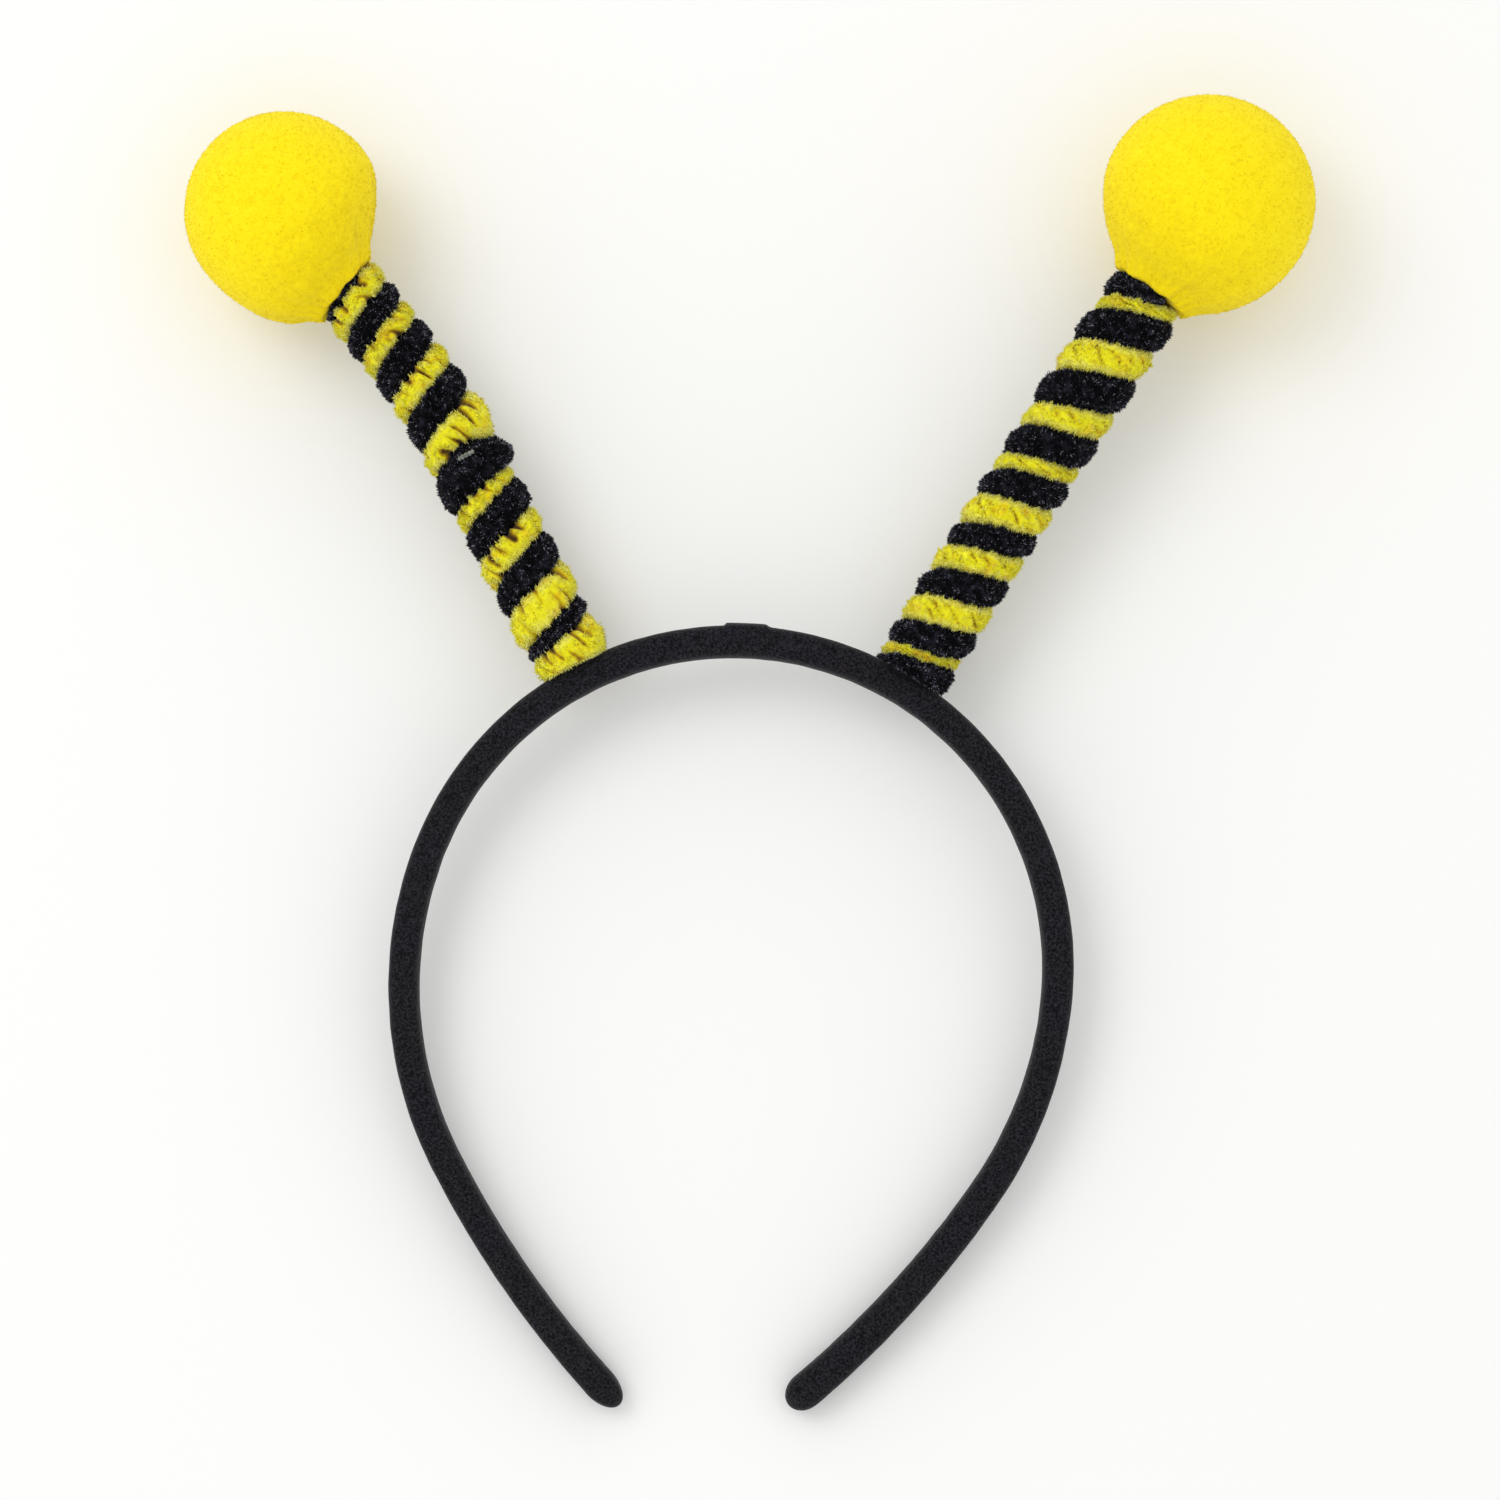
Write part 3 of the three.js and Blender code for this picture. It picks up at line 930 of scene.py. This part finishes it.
for side_number, side in enumerate(antennas):
    for colour, pile_finish in (("black", black_pile), ("yellow", yellow_pile)):
        stem = add_stem(side, colour, pile_finish, seed=100 + 20 * side_number + len(colour))
        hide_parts(f"{side}_{colour}_chenille")


# Splice
# The left antenna takes two black stems. The second is tucked in over the end of the first, half way up,
# and the bare end of its twisted wire lies on the pile.
wire_turns = (3.975, 4.042)
wire_height = 0.0447
wire_out = 0.0089
wire_bend = 0.0005
wire_radius = 0.00043
wire_twist = 2.5
strand_depth = 0.25
wire_end_cut, wire_end_squareness = 0.98, 8
wire_rings, wire_sides = 40, 16
tarnish_size = 0.0007
tarnish_depth = 0.00001
bright_steel, dull_steel = paint(150, 155, 149), paint(108, 113, 103)
steel_roughness, tarnish_roughness = 0.45, 0.2

splice = add_stem("left", "splice", black_pile, seed=150)

share = np.linspace(0, 1, wire_rings)[:, None]
around = all_round(wire_sides)
angle = 2 * math.pi * np.interp(share, (0, 1), wire_turns)
out = wire_out - wire_bend * (2 * share - 1) ** 2
wire_middle, away, upward = beside_stem(antennas["left"], np.full_like(share, wire_height), out, angle)
strands = 1 + strand_depth * np.cos(2 * (around - 2 * math.pi * wire_twist * share))
rounded_ends = np.sqrt(1 - (wire_end_cut * (2 * share - 1)) ** wire_end_squareness)
radius = (wire_radius * strands * rounded_ends)[..., None]
rings = wire_middle + radius * section_way(away, upward, around)
wire_points = set_on_hoop(antennas["left"], with_ends(rings)[0])

bare_wire = Finish("bare_wire", Metallic=1.0)
tarnish = bare_wire.noise(tarnish_size).sharpened(3, 1)
bare_wire.coat(Base_Color=bare_wire.mix(tarnish, bright_steel, dull_steel))
bare_wire.coat(Roughness=tarnish * tarnish_roughness + steel_roughness)
bare_wire.relief(tarnish, tarnish_depth)
add_piece("left_wire_end", wire_points, skin(wire_rings, wire_sides), bare_wire)


# Balls
# A foam ball in a cover of short yellow fleece, which is gathered into a short neck over the top of the
# winding and glued there.
socket_depth = 0.012
gather_count = 8
gather_depth = 0.0004
gather_drift = 3
crease_count = 26
crease_depth = 0.0005
crease_drift, crease_swing = 2, 1.5
hem_radius = 0.0006
hem_wave = 0.00035
hem_waves = (5, 3)
hem_drop = 0.00045
hem_nearness = 6
neck_waist = 0.0005
hem_rows = 6
neck_rows = 14
ball_rows = 120
ball_sides = 190
fleece_lump_depth = 0.00009
fleece_lumps = ((0.004, 0.3), (0.0015, 0.4))  # (size, height)
# The fleece is painted lighter on raised lumps and darker towards the neck: painted light and painted shade.
fleece_shade = 0.5
fleece_lump_light = 0.15
neck_shade = 0.3
fuzz_count = 12500
fuzz_at_pole = 0.0001
fuzz_rooted = 0.996
fuzz_stray = 0.45
fuzz_tint = 0.08
fuzz_length = (0.00025, 0.0005)
fuzz_thickness = (0.00007, 0.00013)


def neck_depth(antenna):
    """How far below the middle of the ball its neck ends."""
    return antenna["ball_radius"] + antenna["neck_drop"] - antenna["hem_lift"]


def ball_profile(antenna):
    """Radius and height of the ball's outline, from inside its socket, round its neck and up to its top."""
    radius, neck_radius, depth = antenna["ball_radius"], antenna["neck_radius"], neck_depth(antenna)
    tangent = math.atan2(neck_radius, depth) + math.acos(radius / math.hypot(neck_radius, depth))
    socket_radius = post_radius + clearance
    sweep = np.linspace(math.pi - tangent, 0, ball_rows)[:-1]
    cone_end = (radius * math.sin(sweep[0]), radius * math.cos(sweep[0]))
    cone_turn = math.atan2(cone_end[1] + depth, cone_end[0] - neck_radius)
    hem_turn = np.linspace(0, cone_turn, hem_rows)
    hem_radii = neck_radius - hem_radius * (math.tan(cone_turn / 2) - np.sin(hem_turn))
    hem_heights = hem_radius * (1 - np.cos(hem_turn)) - depth
    cone_share = np.linspace(0, 1, neck_rows)[1:-1]
    cone_radii = np.interp(cone_share, (0, 1), (hem_radii[-1], cone_end[0]))
    cone_radii = cone_radii - neck_waist * np.sin(math.pi * cone_share) ** 2
    cone_heights = np.linspace(hem_heights[-1], cone_end[1], neck_rows)[1:-1]
    radii = [[socket_radius, socket_radius], hem_radii, cone_radii, radius * np.sin(sweep)]
    heights = [[socket_depth - depth, -depth], hem_heights, cone_heights, radius * np.cos(sweep)]
    return np.concatenate(radii), np.concatenate(heights)


def ball_surface(antenna, radius, height, angle, seed):
    """Points of the gathered cover, round the ball's own middle, and the painted light and shade of its
    fleece there.
    """
    low = eased(np.clip(-height / neck_depth(antenna), 0, 1))
    at_hem = low ** hem_nearness
    gathers = ripple(gather_count * angle + np.sin(gather_drift * angle + seed))
    crease_angle = crease_count / 2 * angle + crease_swing * np.sin(crease_drift * angle + seed)
    creases = np.abs(np.sin(crease_angle))
    out = radius - low * gather_depth * gathers - at_hem * crease_depth * (1 - creases)
    x, z = out * np.sin(angle) + low * antenna["neck_shift"], out * np.cos(angle)
    waves = hem_wave * np.sin(hem_waves[0] * angle + seed) * np.sin(hem_waves[1] * angle)
    y = height + low * neck_slope(antenna) * x + at_hem * (waves - hem_drop)
    points = np.stack([x, y, z], axis=-1)
    lumps = lumpiness(points, fleece_lumps, seed)
    # Painted light on the lumps, painted shade towards the neck.
    shade = fleece_shade + fleece_lump_light * lumps - neck_shade * low
    return points * (1 + fleece_lump_depth * lumps / antenna["ball_radius"])[..., None], shade


def fuzz(antenna, radii, heights, seed, random):
    """The short fuzz on a cover: its points and triangles, and their painted light and shade."""
    rows = np.arange(len(radii))
    share_of_row = radii[2:] + fuzz_at_pole
    row = np.interp(random.random(fuzz_count), np.cumsum(share_of_row) / share_of_row.sum(), rows[2:])
    turn = random.uniform(0, 2 * math.pi, fuzz_count)
    radius, height = np.interp(row, rows, radii), np.interp(row, rows, heights)
    roots, shade = ball_surface(antenna, radius, height, turn, seed)
    directions = unit(unit(roots) + random.normal(0, fuzz_stray, roots.shape))
    lengths = random.uniform(*fuzz_length, fuzz_count)
    thicknesses = random.uniform(*fuzz_thickness, fuzz_count)
    points, triangles = spikes(roots * fuzz_rooted, directions, lengths, thicknesses, random)
    return points, triangles, np.repeat(shade + fuzz_tint * random.normal(size=fuzz_count), spike_points)


def add_ball(side, finish, seed):
    """One ball: the fleece cover, and the short fuzz that stands on it."""
    antenna = antennas[side]
    random = np.random.default_rng(seed)
    radii, heights = ball_profile(antenna)
    rings, shade = ball_surface(antenna, radii[:, None], heights[:, None], all_round(ball_sides), seed)
    cover, shade = with_ends(rings, shade)
    fuzz_points, fuzz_triangles, fuzz_shade = fuzz(antenna, radii, heights, seed, random)

    middle, heading = stem_place(antenna, ball_height(antenna))
    in_line = np.array(Matrix.Rotation(-float(heading), 3, "Z"))
    points = set_on_hoop(antenna, np.concatenate([cover, fuzz_points]) @ in_line.T + middle)
    points[:, 2] = np.maximum(points[:, 2], 0)  # the fuzz under the ball is pressed flat by the floor
    triangles = np.concatenate([skin(len(radii), ball_sides), fuzz_triangles + len(cover)])
    shades = np.clip(np.concatenate([shade, fuzz_shade]), 0, 1)
    piece = add_piece(f"{side}_fleece_ball", points, triangles, finish, shade=shades)
    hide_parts(f"{side}_ball")


fleece = Finish("fleece", Roughness=0.95, Specular_IOR_Level=0.06, Sheen_Weight=0.05, Sheen_Roughness=0.6)
# The low shades are the painted shade towards the neck, and the high ones the painted light on raised lumps.
fleece_shades = [
    (0.0, paint(234, 208, 16)),
    (0.3, paint(246, 220, 14)),
    (0.5, paint(252, 229, 16)),
    (0.9, paint(254, 236, 34)),
]
fleece_nap_size = 0.0006
fleece_nap_depth = 0.00005
fleece.coat(Base_Color=fleece.ramp(fleece.broken_shade(0.0009, 0.5, detail=3).clamped(), fleece_shades))
fleece.relief(fleece.noise(fleece_nap_size, detail=3), fleece_nap_depth)

for side_number, side in enumerate(antennas):
    add_ball(side, fleece, seed=200 + 10 * side_number)


# Posts
# The plain core of dark plastic that each antenna is wound on. It stands on the hoop and reaches into
# the ball, and the pile hides all of it.
post_grain_size = 0.002
post_grain_depth = 0.00003
dark_plastic, light_plastic = paint(24, 24, 26), paint(34, 34, 37)

post_plastic = Finish("post_plastic", Roughness=0.6, Specular_IOR_Level=0.3)
post_tone = post_plastic.noise(post_grain_size)
post_plastic.coat(Base_Color=post_plastic.mix(post_tone, dark_plastic, light_plastic))
post_plastic.relief(post_tone, post_grain_depth)
for side in antennas:
    post = frame["nodes"][f"{side}_post"]
    post.data.materials.clear()
    post.data.materials.append(post_plastic.material)
